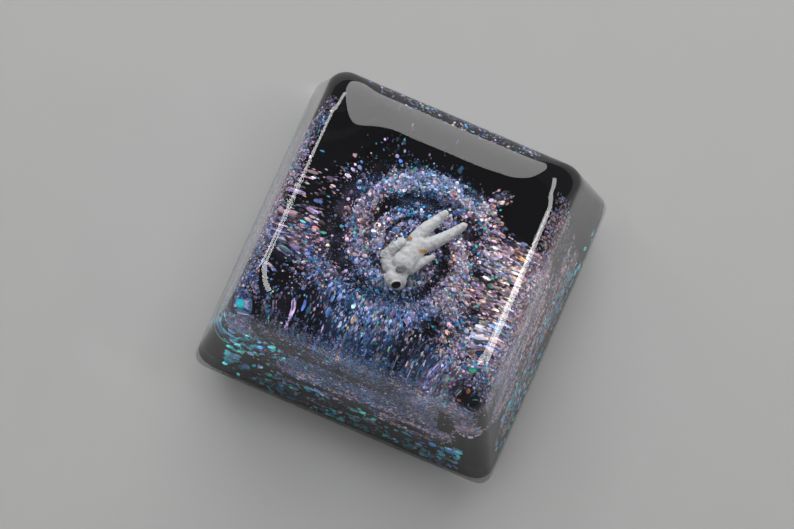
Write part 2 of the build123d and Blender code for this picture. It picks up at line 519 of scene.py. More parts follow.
def sweep(bm, rings):
    """Extrudes one loop of edges through the rings in turn. A ring on a single point closes its end."""
    place = bm.verts.layers.int.new("place on ring")
    loop = bmesh.ops.create_circle(bm, segments=len(rings[0]), radius=1.0)["verts"]
    for index, vert in enumerate(loop):
        vert[place] = index
        vert.co = rings[0][index]
    edges = bm.edges[:]
    for ring in rings[1:]:
        made = bmesh.ops.extrude_edge_only(bm, edges=edges)["geom"]
        verts = {item for item in made if isinstance(item, bmesh.types.BMVert)}
        for vert in verts:
            vert.co = ring[vert[place]]
        edges = [
            item for item in made if isinstance(item, bmesh.types.BMEdge) and verts.issuperset(item.verts)
        ]
    bmesh.ops.remove_doubles(bm, verts=bm.verts, dist=1e-8)
    bmesh.ops.recalc_face_normals(bm, faces=bm.faces)
    # Extruding leaves the faces in another order each run.
    bm.verts.index_update()
    bm.faces.sort(key=lambda face: sum(vert.index**2 for vert in face.verts))


def standing_on(axis):
    """The turn that takes the Z axis to another one."""
    return axis.to_track_quat("Z", "Y").to_matrix().to_4x4()


def shade_smooth(bm, crease=math.radians(35)):
    """Smooth shading everywhere but across creases."""
    for face in bm.faces:
        face.smooth = True
    for edge in bm.edges:
        edge.smooth = edge.calc_face_angle(math.pi) < crease


def mesh_of(bm, name):
    """Turns a finished bmesh into a mesh."""
    mesh = bpy.data.meshes.new(name)
    bm.to_mesh(mesh)
    bm.free()
    return mesh


def put_in_scene(name, data):
    """An object of the scene that holds a mesh, a lamp or a camera."""
    holder = bpy.data.objects.new(name, data)
    bpy.context.scene.collection.objects.link(holder)
    return holder


def add_piece(name, bm, finish, slot, *replaced):
    """Makes a finished bmesh a piece of the object, riding on its body."""
    mesh = mesh_of(bm, name)
    mesh.materials.append(finish)
    piece = put_in_scene(name, mesh)
    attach(piece, BODY)
    if replaced:
        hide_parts(*replaced)


# Clear body

class CapProfile:
    """The clear body's outside along the middle of a side: straight wall, soft rim, shallow dish."""

    def __init__(self, form):
        self.form = form
        self.taper = (form.skirt_width - form.top_width) / 2 / form.rim_height
        self.wall_tilt = math.pi / 2 - math.atan(self.taper)
        self.rim_base = form.rim_height - form.rim_drop
        foot_out, foot_up = self.rim_spread(self.wall_tilt)
        self.foot_z = self.rim_base + foot_up
        self.rim_middle = self.half_width(self.foot_z) - foot_out
        edge_out, edge_up = self.rim_spread(-form.dish_angle)
        self.edge_half = self.rim_middle + edge_out
        self.edge_z = self.rim_base + edge_up
        self.dish_radius = self.edge_half / math.sin(form.dish_angle)

    def half_width(self, height):
        """Half the width across the flat sides at a height of the wall."""
        return self.form.skirt_width / 2 - self.taper * height

    def rim_spread(self, tilt):
        """How far out and up from its middle the elliptical rim is where it leans out by an angle."""
        reach, drop = self.form.rim_reach, self.form.rim_drop
        size = math.hypot(reach * math.sin(tilt), drop * math.cos(tilt))
        return reach**2 * math.sin(tilt) / size, drop**2 * math.cos(tilt) / size

    def dish(self, out):
        """Half width, corner radius and height in the dish, from its middle at 0 to its edge at 1."""
        half = self.edge_half * out
        roundness = 1 - (1 - self.form.rim_corner / self.edge_half) * out**2
        fall = math.sqrt(self.dish_radius**2 - half**2) - self.dish_radius * math.cos(self.form.dish_angle)
        return half, half * roundness, self.edge_z - fall

    def rim(self, down):
        """The same on the soft rim, from the dish's edge at 0 to the wall at 1."""
        out, up = self.rim_spread((self.wall_tilt + self.form.dish_angle) * down - self.form.dish_angle)
        corner = self.form.rim_corner + (self.form.wall_corner - self.form.rim_corner) * down
        return self.rim_middle + out, corner, self.rim_base + up

    def wall(self, height):
        """The same on the wall."""
        widening = (self.form.wall_corner - self.form.skirt_corner) * height / self.foot_z
        return self.half_width(height), self.form.skirt_corner + widening, height

    def edge(self, under):
        """The same on the polished lower edge, from the wall at 0 to the underside at 1."""
        radius = self.form.skirt_edge
        half, corner, height = self.wall(radius * (1 - math.sin(math.pi / 2 * under)))
        inset = radius * (1 - math.cos(math.pi / 2 * under))
        return half - inset, corner - inset, height


def core_ring(form, ring, height, cover):
    """The core's skirt at a height, parallel to the clear sides, or what covers it there by a thickness."""
    shoulder_corner = (form.core_skirt_corner + form.core_top_corner) / 2
    up = height / form.shoulder_height
    corner = form.core_skirt_corner + (shoulder_corner - form.core_skirt_corner) * up
    taper = (form.top_width - form.skirt_width) / form.rim_height
    width = form.skirt_width + taper * height - 2 * (form.clear_skin - cover)
    return rounded_square(ring, width, corner + cover, height)


def core_rings(form, ring, foot, cover, lift):
    """The core, or a cover on it, at a foot, at its shoulder and at the edge of its flat top."""
    return [
        core_ring(form, ring, foot, cover),
        core_ring(form, ring, form.shoulder_height, cover),
        rounded_square(ring, form.core_top_width, form.core_top_corner, form.core_height + lift),
    ]


def clear_rings(form):
    """From the dish's middle over the rim and down the sides, then up inside round the core."""
    outside = CapProfile(form)
    sections = [outside.dish(step / DISH_STEPS) for step in range(DISH_STEPS)]
    sections += [outside.rim(step / RIM_STEPS) for step in range(RIM_STEPS)]
    for step in range(WALL_STEPS):
        rise = (1 - step / WALL_STEPS) ** 2
        sections.append(outside.wall(form.skirt_edge + (outside.foot_z - form.skirt_edge) * rise))
    sections += [outside.edge(step / EDGE_STEPS) for step in range(EDGE_STEPS + 1)]
    ring = square_ring()
    rings = [rounded_square(ring, 2 * half, corner, height) for half, corner, height in sections]
    rings += core_rings(form, ring, 0.0, -form.core_sink, -form.core_sink)
    rings.append([Vector((0, 0, form.core_height - form.core_sink))] * len(ring))
    return rings


class KEYCAP_OT_clear_body(bpy.types.Operator):
    """Make the clear resin body"""

    bl_idname = "keycap.clear_body"
    bl_label = "Clear Body"

    def execute(self, context):
        bm = bmesh.new()
        sweep(bm, clear_rings(settings().cap))
        shade_smooth(bm)
        add_piece("clear_body", bm, clear_finish(), "clear_resin", CAP_NODE)
        return {"FINISHED"}


class KEYCAP_OT_black_core(bpy.types.Operator):
    """Finish the black resin core"""

    bl_idname = "keycap.black_core"
    bl_label = "Black Core"

    def execute(self, context):
        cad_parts[CORE_NODE].data.materials.clear()
        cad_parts[CORE_NODE].data.materials.append(core_finish())
        return {"FINISHED"}


# Glitter swirl

BED_CORNER_STEPS = 30
BED_SIDE_STEPS = 34
BED_RINGS = 90
SHOULDER_RINGS = 16
DRAPE_RINGS = 14
ARM_HALF_TURNS = 3
LEAST_RADIUS = 0.05 * MM

# A point counts as on the layer's top from this share of the bed's thickness up.
TOP_SHARE = 0.99

# Where the swirl's forms fall away, as shares of an arm's half width, of its inner radius and of the bed.
ARM_SLOPE = (0.75, 1.35)
BULGE_SLOPE = (0.85, 1.15)
BED_SLOPE = (0.93, 1.0)

# Where the swirl's glitter fades out: off its arms, off its middle, and at the edge and corners of the bed.
ARM_GLITTER = (0.5, 2.0)
MIDDLE_GLITTER = (1.0 * MM, 2.2 * MM)
EDGE_GLITTER = (4.5 * MM, 6.0 * MM)
EDGE_WAVES = 0.6 * MM
CORNER_GLITTER = (4.4 * MM, 5.6 * MM)
DUST_EDGE = (4.4 * MM, 6.0 * MM)

# Sizes of the patches and streaks in the glitter, and how streaks are drawn out along each axis.
WIDE_PATCH = 1.2 * MM
FINE_PATCH = 0.5 * MM
DUST_PATCH = 0.8 * MM
WARM_PATCH = 1.1 * MM
RAGGED_PATCH = 1.6 * MM
STREAK = 0.9 * MM
SHOULDER_STREAKS = (0.45, 0.45, 2.0)
VEIL_STREAKS = (1.0, 0.5, 1.6)

# Bare corners of the core's sides: where they start, how much sooner at the back, and their soft edge.
CORNER_START = 5.4 * MM
BACK_CORNER_MORE = 1.0 * MM
CORNER_FADE = 1.4 * MM

# How far ragged edges reach in, at the corners and down the back.
CORNER_RAGGED = 1.2 * MM
BACK_RAGGED = 0.8 * MM

# Zones of the glitter: where each fades in along some axes, or to both sides, in millimetres.
SWIRL_FRONT = {"y": (0.5, -4.0)}
SWIRL_LEFT = {"x": (-1.5, -3.5)}
RIGHT_EDGE = {"x": (2.5, 5.0), "y": (3.5, 1.5)}
LEFT_EDGE = {"x": (-3.5, -5.5), "y": (1.0, -1.0)}
WARM_RIGHT = {"x": (1.5, 4.0)}
WARM_LOW = {"z": (5.2, 4.4)}
COOL_FRONT = {"y": (0.0, -3.0)}
BACK_CORNERS = {"y": (3.0, 4.0)}
FLANKS = {"aside": (6.9, 7.7), "z": (0.3, 2.6)}
BACK_SIDE = {"y": (6.9, 7.7), "z": (0.8, 2.4)}
BARE_TOP = {"y": (0.5, 3.5), "z": (4.6, 5.2)}
BARE_BACK = {"y": (5.0, 6.2), "z": (3.6, 4.4)}
BARE_LEFT = {"x": (-3.4, -5.0), "y": (-5.0, -6.2)}
DRAPE_FRONT = {"y": (-3.0, -6.0)}

# What zones add to the glitter kept at the bed's edge, to the bed's cover and to the glitter's warmth.
EDGE_KEPT = [(SWIRL_FRONT, 0.45), (RIGHT_EDGE, 0.75), (LEFT_EDGE, 0.45)]
BED_COVER = [(SWIRL_FRONT, 0.2), (RIGHT_EDGE, 0.45)]
WARMTH = [(WARM_RIGHT, 0.15), (COOL_FRONT, -0.1), (WARM_LOW, 0.3)]

# The least cover of the bed, at its edge and elsewhere, and what arms, middle and patches add to it.
LEAST_KEPT = 0.012
LEAST_COVER = 0.06
ARM_COVER = 0.6
MIDDLE_COVER = 0.3
PATCH_COVER = 0.3
BAREST = 0.02

# How much thinner the glitter is at the swirl's left and corners, and how thick it is on the core's sides.
LEFT_THINNED = 0.3
CORNER_THINNED = 0.95
SIDE_COVER = 0.75
BACK_COVER = 0.45
LEFT_BARE = 0.85

# Dust: how thick and how patchy between the arms, and how thick on the drape and more at its front.
DUST_BETWEEN = 0.22
DUST_PATCHES = 0.25
DRAPE_DUST = 0.5
DRAPE_DUST_FRONT = 0.4

# How warm the glitter is all over, and how much that changes round the swirl and from patch to patch.
EVEN_WARMTH = 0.45
ROUND_WARMTH = 0.3
PATCH_WARMTH = 0.45

# Thick and bare patches of the swirl: place and radius in millimetres, and how much glitter each adds.
DRIFT_EDGE = (0.35, 1.1)
DRIFTS = [
    (-3.5, 0.6, 0.9, 0.3),
    (-3.3, 2.0, 1.0, 0.4),
    (-2.2, 3.3, 1.0, 0.65),
    (-0.7, 3.9, 1.0, 0.7),
    (0.8, 4.0, 1.0, 0.65),
    (2.1, 3.6, 0.9, 0.55),
    (-2.6, 4.8, 1.3, 0.12),
    (-0.6, 5.1, 1.3, 0.12),
    (1.2, 5.0, 1.2, 0.12),
    (3.0, 1.1, 0.7, 0.45),
    (3.6, 0.2, 0.7, 0.6),
    (3.8, -0.9, 0.7, 0.6),
    (3.5, -2.2, 0.9, 0.6),
    (4.8, 1.4, 1.0, 0.5),
    (3.3, 3.8, 0.8, 0.5),
    (3.7, 4.8, 0.7, 0.4),
    (5.6, -1.0, 1.1, 0.6),
    (-2.2, -0.3, 1.2, 0.4),
    (-2.4, -1.4, 0.9, 0.35),
    (-5.6, -2.2, 1.1, 0.65),
    (-5.0, 0.9, 1.2, 0.12),
    (0.6, -3.4, 1.8, 0.25),
    (-2.0, 1.9, 0.8, -0.35),
    (-0.8, 2.5, 0.9, -0.4),
    (0.4, 2.8, 0.8, -0.4),
    (-4.6, -0.4, 0.9, -0.25),
    (-4.0, -2.2, 0.8, -0.3),
    (4.3, 0.2, 0.5, -0.3),
    (4.8, -1.9, 0.6, -0.35),
    (2.4, -0.2, 0.7, -0.3),
]


def smoothstep(low, high, value):
    """0 at low, 1 at high and smooth between, whichever of them is larger."""
    span = min(max((value - low) / (high - low), 0.0), 1.0)
    return span * span * (3 - 2 * span)


def inside(zone, x, y, z=0.0):
    """1 inside a zone, 0 outside it and smooth between."""
    places = {"x": x, "y": y, "z": z, "aside": abs(x)}
    part = 1.0
    for axis, (low, high) in zone.items():
        part *= smoothstep(low * MM, high * MM, places[axis])
    return part


def added(zones, x, y, z=0.0):
    """What some zones add at a place, each by its own weight."""
    return sum(weight * inside(zone, x, y, z) for zone, weight in zones)


def patches(x, y, size, layer):
    """Soft noise over the swirl with patches of about a size, and other ones on each layer."""
    return noise.noise(Vector((x, y, layer)) / size)


def streaks(place, stretch):
    """Noise that is drawn out along the sides."""
    return noise.noise(Vector([value * factor for value, factor in zip(place, stretch)]) / STREAK)


class Swirl:
    """The two-armed spiral: its height and how rich it is in glitter at a point."""

    def __init__(self, form, cap):
        self.form = form
        self.cap = cap
        self.bed_width = cap.core_top_width - 2 * form.bed_margin
        self.bed_corner = cap.core_top_corner - form.bed_margin
        self.floor = cap.core_height

    def off_arm(self, x, y):
        """Distance from the middle of the nearest arm, in half widths of the arm there."""
        radius = max(math.hypot(x, y), LEAST_RADIUS)
        half_turns = math.log(radius / self.form.inner_radius) / math.log(self.form.growth)
        phase = math.atan2(y, x) / math.pi + half_turns
        away = abs(phase - round(phase)) * math.log(self.form.growth) * radius
        along = min(max(half_turns / ARM_HALF_TURNS, 0.0), 1.0)
        width = self.form.width_inner + (self.form.width_outer - self.form.width_inner) * along
        return away / (width / 2)

    def height(self, x, y):
        """Height of the layer's surface above the core."""
        radius = math.hypot(x, y)
        outer = self.bed_width / 2
        fall = max(1 - (radius / outer) ** 2, 0.0)
        crown = self.form.edge_height + (self.form.crown - self.form.edge_height) * fall
        ridge = 1 - smoothstep(*ARM_SLOPE, self.off_arm(x, y))
        bulge = 1 - smoothstep(*BULGE_SLOPE, radius / self.form.inner_radius)
        within = 1 - smoothstep(*BED_SLOPE, max(abs(x), abs(y)) / outer)
        return self.form.bed_thickness + crown * max(ridge, bulge) * within

    def richness(self, x, y):
        """Share of the surface that glitter covers."""
        radius = math.hypot(x, y)
        arm = 1 - smoothstep(*ARM_GLITTER, self.off_arm(x, y))
        middle = 1 - smoothstep(*MIDDLE_GLITTER, radius)
        patch = patches(x, y, WIDE_PATCH, 0) + 0.5 * patches(x, y, FINE_PATCH, 3)
        kept = min(LEAST_KEPT + added(EDGE_KEPT, x, y), 1.0)
        fade = 1 - (1 - kept) * smoothstep(*EDGE_GLITTER, radius - EDGE_WAVES * patch)
        covered = LEAST_COVER + added(BED_COVER, x, y)
        covered += max(ARM_COVER * arm, MIDDLE_COVER * middle) + PATCH_COVER * patch
        for across, along, size, strength in DRIFTS:
            away = math.hypot(x - across * MM, y - along * MM) / (size * MM)
            drift = strength * (1 - smoothstep(*DRIFT_EDGE, away))
            covered += drift
            fade = max(fade, 2 * drift)
        corner = smoothstep(*CORNER_GLITTER, min(abs(x), abs(y)))
        thinner = (1 - LEFT_THINNED * inside(SWIRL_LEFT, x, y)) * (1 - CORNER_THINNED * corner)
        return min(max(covered, BAREST), 1.0) * min(fade, 1.0) * thinner

    def dustiness(self, x, y):
        """Share of the bed that dust covers: as rich as the flakes, and never bare between the arms."""
        between = 1 - smoothstep(*DUST_EDGE, math.hypot(x, y))
        patch = patches(x, y, DUST_PATCH, 7)
        return max(self.richness(x, y), (DUST_BETWEEN + DUST_PATCHES * patch) * between)

    def rings(self):
        """The layer from the middle of its top to the edge, down to the hem and back up on the core."""
        form, cap = self.form, self.cap
        ring = square_ring(BED_CORNER_STEPS, BED_SIDE_STEPS)
        rings = []
        for step in range(BED_RINGS + 1):
            out = step / BED_RINGS
            points = rounded_square(ring, self.bed_width * out, self.bed_corner * out, 0)
            rings.append([Vector((p.x, p.y, self.floor + self.height(p.x, p.y))) for p in points])
        hem, shoulder, top = core_rings(cap, ring, form.drape_hem, form.drape_thickness, form.bed_thickness)
        rings.append(top)
        rings += rings_between(top, shoulder, SHOULDER_RINGS)
        rings += rings_between(shoulder, hem, DRAPE_RINGS)
        rings += core_rings(cap, ring, form.drape_hem, -cap.core_sink, -cap.core_sink)
        rings.append([Vector((0, 0, cap.core_height - cap.core_sink))] * len(ring))
        return rings


def rings_between(first, last, steps):
    """Evenly spaced rings after the first up to the last."""
    shares = [step / steps for step in range(1, steps + 1)]
    return [[start.lerp(end, along) for start, end in zip(first, last)] for along in shares]


def glitter_warmth(place):
    """How pink the glitter is at a place: most low down and to the left and right, least at the front."""
    heading = math.atan2(place.y, place.x)
    patch = PATCH_WARMTH * noise.noise(place / WARM_PATCH)
    return EVEN_WARMTH + ROUND_WARMTH * math.cos(2 * heading) + added(WARMTH, *place) + patch


def ragged(place, depth):
    """How far in the edge of a patch of glitter is at a place, from nothing to about a depth."""
    return 2 * depth * max(noise.noise(place / RAGGED_PATCH), 0.0)


def corner_share(place):
    """0 along the core's sides and 1 at its four corners, further along at the back, with a ragged edge."""
    start = CORNER_START - BACK_CORNER_MORE * inside(BACK_CORNERS, *place) - ragged(place, CORNER_RAGGED)
    return smoothstep(start, start + CORNER_FADE, min(abs(place.x), abs(place.y)))


def side_richness(cap, place):
    """How thick the glitter lies on the core: not on its back shoulder, and not on its front side."""
    sides = max(SIDE_COVER * inside(FLANKS, *place), BACK_COVER * inside(BACK_SIDE, *place))
    upper = smoothstep(cap.shoulder_height - DUST_UNDER_SHOULDER, cap.core_height, place.z)
    bare_top = inside(BARE_TOP, *place)
    bare_back = inside(BARE_BACK, place.x, place.y, place.z + ragged(place, BACK_RAGGED))
    bare_left = LEFT_BARE * inside(BARE_LEFT, *place)
    thick = (max(sides, upper) + streaks(place, SHOULDER_STREAKS)) * (1 - bare_left)
    return thick * (1 - max(bare_top, bare_back)) * (1 - corner_share(place))


def drape_richness(cap, place):
    """Share of the drape that dust covers: most on the front shoulder."""
    front = DRAPE_DUST_FRONT * inside(DRAPE_FRONT, *place)
    return (DRAPE_DUST + front) * side_richness(cap, place)


class KEYCAP_OT_glitter_bed(bpy.types.Operator):
    """Make the glitter layer with its spiral arms"""

    bl_idname = "keycap.glitter_bed"
    bl_label = "Glitter Bed"

    def execute(self, context):
        cap = settings().cap
        swirl = Swirl(settings().swirl, cap)
        bm = bmesh.new()
        sweep(bm, swirl.rings())
        shade_smooth(bm)
        rich = bm.verts.layers.float.new("richness")
        warm = bm.verts.layers.float.new("warmth")
        top = cap.core_height + TOP_SHARE * swirl.form.bed_thickness
        for vert in bm.verts:
            on_top = vert.co.z > top
            vert[rich] = swirl.dustiness(vert.co.x, vert.co.y) if on_top else drape_richness(cap, vert.co)
            vert[warm] = min(max(glitter_warmth(vert.co), 0.0), 1.0)
        add_piece("glitter_bed", bm, dust_finish(), "glitter", SWIRL_NODE)
        return {"FINISHED"}


# Glitter flakes

FINE_SIDES = 4
LARGE_SIDES = 6
FLAKE_THICKNESS = 0.16
SMALL_BIAS = 1.8
SWIRL_TILT = math.radians(22)
SIDE_TILT = math.radians(30)
FLECK_UPTURN = 1.8

# Radii of the flakes off the swirl, as shares of the smallest and the largest radius in the settings.
DRAPED_SIZES = (0.8, 0.9)
FLECK_SIZES = (1.6, 1.8)
VEIL_SIZES = (1.2, 0.75)

# How far flakes lie off what carries them, in millimetres: the least and the most.
SWIRL_LIFT = (0.03, 0.38)
DRAPE_LIFT = (0.01, 0.08)
FLECK_LIFT = (0.05, 0.24)
VEIL_LIFT = (-0.15, 0.1)

# Rings of the veil: heights on the clear wall in millimetres, then shares of the way down the soft rim.
VEIL_HEIGHTS = (6.0, 7.0, 8.0, 9.0, 9.6)
VEIL_RIM = (1.0, 0.88, 0.74, 0.6)

# Where flecks thin out: above the foot at the back, on all shoulders but the front left, and at corners.
FLECK_BACK = 4.0 * MM
FLECK_BACK_TOP = 1.2 * MM
FLECK_LEFT = -3.5 * MM
FLECK_FRONT = -5.0 * MM
FLECK_SHOULDER_CHANCE = 0.6
FLECK_PATCH = 2.2 * MM
FLECK_SPARSE = (-0.5, 0.3)
FLECK_CORNER = 7.2 * MM

# How bright flakes are: the dimmest of each kind, and the power that dims them in bare or rich glitter.
FINE_DIMMEST = 0.14
LARGE_DIMMEST = 0.06
DRAPE_DIMMEST = 0.22
LEFT_BRIGHTER = 0.23
VEIL_DIMMEST = 0.25
BARE_POWER = 2.6
RICH_POWER = 0.5
HAZE_DIMMED = 0.45
SPARK_GLOW = (0.4, 1.0)
FLECK_GLOW = (0.5, 1.0)

# How often flakes are sparks or peach, and how much paler they get where glitter is rich: partly a paler
# tone, partly painted glints.
SPARK_CHANCE = 0.1
PEACH_CHANCE = 0.4
PALEST_AND_GLINT = 0.5
PALE_AND_GLINT_RICHNESS = (0.65, 1.0)

# Share of the large flakes that is left out in the haze at the swirl's front.
LARGE_THINNED = 0.7

# How thick the veil is: at least, beside, in front and low down, and how much of it is streaks.
VEIL_LEAST = 0.2
VEIL_BESIDE = 0.75
VEIL_BEFORE = 0.6
VEIL_LOW = 0.2
VEIL_EVEN = 0.6
VEIL_STREAKY = 0.9

# More zones, as for the swirl.
THINNED_FRONT = {"y": (-2.5, -4.5)}
HAZY_FRONT = {"y": (-3.8, -5.4), "z": (7.0, 6.6)}
HAZY_SHOULDER = {"z": (4.4, 5.0)}
HAZY_TOP = {"z": (5.2, 5.7)}
PEACHY_RIGHT = {"x": (2.0, 4.2)}
# Where rich glitter gets paler, partly as painted glints: all but the front.
PALE_AND_GLINT_AREA = {"y": (-4.0, -2.0)}
BRIGHT_LEFT = {"x": (-5.5, -7.0)}
VEIL_SIDES = {"aside": (5.8, 6.6)}
VEIL_FRONT = {"x": (-5.5, -3.5), "y": (-5.8, -6.6)}
VEIL_TOP = {"z": (7.5, 9.2)}

COOL = [(0.14, 0.30, 0.78), (0.22, 0.38, 0.88), (0.40, 0.50, 0.95), (0.68, 0.73, 0.97), (0.10, 0.43, 0.80)]
WARM = [(0.95, 0.58, 0.78), (0.74, 0.51, 0.86), (0.95, 0.64, 0.66), (0.97, 0.84, 0.94), (0.64, 0.51, 0.90)]
PEACH = [(0.97, 0.62, 0.50), (0.97, 0.72, 0.64), (0.96, 0.54, 0.46), (0.97, 0.84, 0.76), (0.95, 0.62, 0.78)]
SPARKS = [(0.06, 0.58, 0.64), (0.18, 0.7, 0.78), (0.90, 0.50, 0.30), (0.10, 0.30, 0.80), (0.88, 0.88, 0.92)]
FLECKS = [(0.04, 0.66, 0.76), (0.14, 0.86, 0.98), (0.08, 0.40, 0.96), (0.08, 0.72, 0.6), (0.40, 0.60, 0.98)]


def flake_template(sides):
    """A flat flake, pointed a little above and below so that it is closed."""
    bm = bmesh.new()
    half = {"segments": sides, "radius1": 1.0, "radius2": 0.0, "depth": FLAKE_THICKNESS}
    for flip in (0.0, math.pi):
        lift = Matrix.Translation((0, 0, FLAKE_THICKNESS / 2))
        bmesh.ops.create_cone(bm, matrix=Matrix.Rotation(flip, 4, "X") @ lift, **half)
    bmesh.ops.remove_doubles(bm, verts=bm.verts, dist=1e-4)
    bmesh.ops.recalc_face_normals(bm, faces=bm.faces)
    return mesh_of(bm, "flake template")


def flake_pose(rng, sizes, place, normal, tilt):
    """A place for one flake: random size and turn, and tilted a little off the surface."""
    size = sizes[0] + (sizes[1] - sizes[0]) * rng.random() ** SMALL_BIAS
    lean = Matrix.Rotation(rng.gauss(0, tilt), 4, "X") @ Matrix.Rotation(rng.gauss(0, tilt), 4, "Y")
    spin = Matrix.Rotation(rng.uniform(0, math.tau), 4, "Z")
    return Matrix.Translation(place) @ standing_on(normal) @ lean @ spin @ Matrix.Scale(size, 4)


def front_edge(place):
    """1 on the hazy front edge of the swirl and of the shoulder below it, and 0 elsewhere."""
    height = 0.5 * inside(HAZY_SHOULDER, *place) + 0.5 * inside(HAZY_TOP, *place)
    return height * inside(HAZY_FRONT, *place)


def flake_tint(rng, place, rich, dimmest):
    """A flake's colour by its place: pink, peach or blue and brighter where glitter is rich, or a spark."""
    if rng.random() < SPARK_CHANCE:
        return [value * rng.uniform(*SPARK_GLOW) for value in rng.choice(SPARKS)]
    power = BARE_POWER + (RICH_POWER - BARE_POWER) * min(max(rich, 0.0), 1.0)
    glow = dimmest + (1 - dimmest) * rng.random() ** power
    glow *= 1 - HAZE_DIMMED * front_edge(place)
    palette = COOL
    if rng.random() < glitter_warmth(place):
        peachy = PEACH_CHANCE * inside(PEACHY_RIGHT, *place)
        palette = PEACH if rng.random() < peachy else WARM
    # Paler flakes where glitter is rich, away from the front: partly a paler tone, partly painted glints in
    # place of glints off the lamps.
    pale = PALEST_AND_GLINT * smoothstep(*PALE_AND_GLINT_RICHNESS, rich) * inside(PALE_AND_GLINT_AREA, *place) * rng.random()
    return [glow * (value + (1 - value) * pale) for value in rng.choice(palette)]


def swirl_flakes(rng, swirl, sizes, number, dimmest, thinned):
    """Flakes of the swirl, thickest on its arms and thinned by a share in the haze at its front."""
    reach = swirl.bed_width / 2
    flakes = []
    while len(flakes) < number:
        x, y = rng.uniform(-reach, reach), rng.uniform(-reach, reach)
        rich = swirl.richness(x, y)
        if rng.random() > rich * (1 - thinned * inside(THINNED_FRONT, x, y)):
            continue
        least, most = SWIRL_LIFT
        lift = (least + (most - least) * rng.random() ** 2) * MM
        place = Vector((x, y, swirl.floor + swirl.height(x, y) + lift))
        pose = flake_pose(rng, sizes, place, Vector((0, 0, 1)), SWIRL_TILT)
        flakes.append((pose, flake_tint(rng, place, rich, dimmest)))
    return flakes


def band_place(rng, ring, bands, lift):
    """A random place just off one of the bands, with the direction that the band faces."""
    low, high = rng.choice(bands)
    index = rng.randrange(len(ring))
    following = (index + 1) % len(ring)
    along = rng.random()
    foot = low[index].lerp(low[following], along)
    head = high[index].lerp(high[following], along)
    outward = ring[index][1].to_3d()
    up = (head - foot).normalized()
    normal = (outward - up * outward.dot(up)).normalized()
    return foot.lerp(head, rng.random()) + normal * lift, normal


def side_bands(form, cap, ring):
    """The bare foot of the core's sides, then the layer's drape on the sides and on the shoulders."""
    foot = core_ring(cap, ring, 2 * form.large_flake, 0.0)
    bare_hem = core_ring(cap, ring, form.drape_hem, 0.0)
    hem, shoulder, top = core_rings(cap, ring, form.drape_hem, form.drape_thickness, form.bed_thickness)
    return [(foot, bare_hem), (hem, shoulder), (shoulder, top)]


def shoulder_flakes(rng, form, cap, sizes):
    """Glitter that ran down over the core's shoulders and sides."""
    ring = square_ring()
    bands = side_bands(form, cap, ring)
    flakes = []
    while len(flakes) < form.shoulder_count:
        place, normal = band_place(rng, ring, bands, rng.uniform(*DRAPE_LIFT) * MM)
        rich = side_richness(cap, place)
        if rng.random() < rich:
            pose = flake_pose(rng, sizes, place, normal, SIDE_TILT)
            dimmest = DRAPE_DIMMEST + LEFT_BRIGHTER * inside(BRIGHT_LEFT, *place)
            flakes.append((pose, flake_tint(rng, place, rich, dimmest)))
    return flakes


def side_flecks(rng, form, cap, sizes):
    """Stray bright flecks off the core: in clusters low on its sides, and on its front left shoulder."""
    ring = square_ring()
    bands = side_bands(form, cap, ring)
    flecks = []
    while len(flecks) < form.fleck_count:
        place, normal = band_place(rng, ring, bands, rng.uniform(*FLECK_LIFT) * MM)
        behind = place.y > FLECK_BACK and place.z > FLECK_BACK_TOP
        front_left = place.x < FLECK_LEFT and place.y < FLECK_FRONT
        kept_high = front_left and rng.random() < FLECK_SHOULDER_CHANCE
        high = place.z > cap.shoulder_height and not kept_high
        sparse = noise.noise(place / FLECK_PATCH) < rng.uniform(*FLECK_SPARSE)
        if behind or high or sparse or min(abs(place.x), abs(place.y)) > FLECK_CORNER:
            continue
        glow = rng.uniform(*FLECK_GLOW)
        tint = [value * glow for value in rng.choice(FLECKS)]
        facing = (normal + Vector((0, 0, FLECK_UPTURN))).normalized()
        flecks.append((flake_pose(rng, sizes, place, facing, SIDE_TILT), tint))
    return flecks


def veil_bands(form, cap, ring):
    """Bands close under the clear sides, from above the core's shoulders up into the soft rim."""
    outside = CapProfile(cap)
    sections = [outside.wall(height * MM) for height in VEIL_HEIGHTS]
    sections += [outside.rim(down) for down in VEIL_RIM]
    rings = []
    for half, corner, height in sections:
        rings.append(rounded_square(ring, 2 * (half - form.veil_depth), corner, height))
    return list(zip(rings, rings[1:]))


def veil_richness(place):
    """How thick the veil is: most high on the left and right, in streaks along the sides."""
    beside = VEIL_BESIDE * inside(VEIL_SIDES, *place)
    before = VEIL_BEFORE * inside(VEIL_FRONT, *place)
    high = VEIL_LOW + (1 - VEIL_LOW) * inside(VEIL_TOP, *place)
    streaky = VEIL_EVEN + VEIL_STREAKY * streaks(place, VEIL_STREAKS)
    return max(VEIL_LEAST, beside, before) * high * streaky * (1 - corner_share(place))


def wall_flakes(rng, form, cap, sizes):
    """A thin veil of flakes close under the clear sides."""
    ring = square_ring()
    bands = veil_bands(form, cap, ring)
    flakes = []
    while len(flakes) < form.veil_count:
        place, normal = band_place(rng, ring, bands, rng.uniform(*VEIL_LIFT) * MM)
        rich = veil_richness(place)
        if rng.random() < rich:
            pose = flake_pose(rng, sizes, place, normal, SIDE_TILT)
            flakes.append((pose, flake_tint(rng, place, rich, VEIL_DIMMEST)))
    return flakes


def scaled(sizes, factors):
    """A smallest and a largest size, each times its own factor."""
    return [size * factor for size, factor in zip(sizes, factors)]


def add_flakes(name, sides, flakes, finish):
    """Makes one piece of many flakes, each with its own place and colour."""
    template = flake_template(sides)
    corners = len(template.vertices)
    bm = bmesh.new()
    for _ in flakes:
        bm.from_mesh(template)
    shade = bm.verts.layers.float_color.new("flake_colour")
    for index, vert in enumerate(bm.verts):
        pose, tint = flakes[index // corners]
        vert.co = pose @ vert.co
        vert[shade] = rgba(tint)
    bpy.data.meshes.remove(template)
    add_piece(name, bm, finish, "glitter")


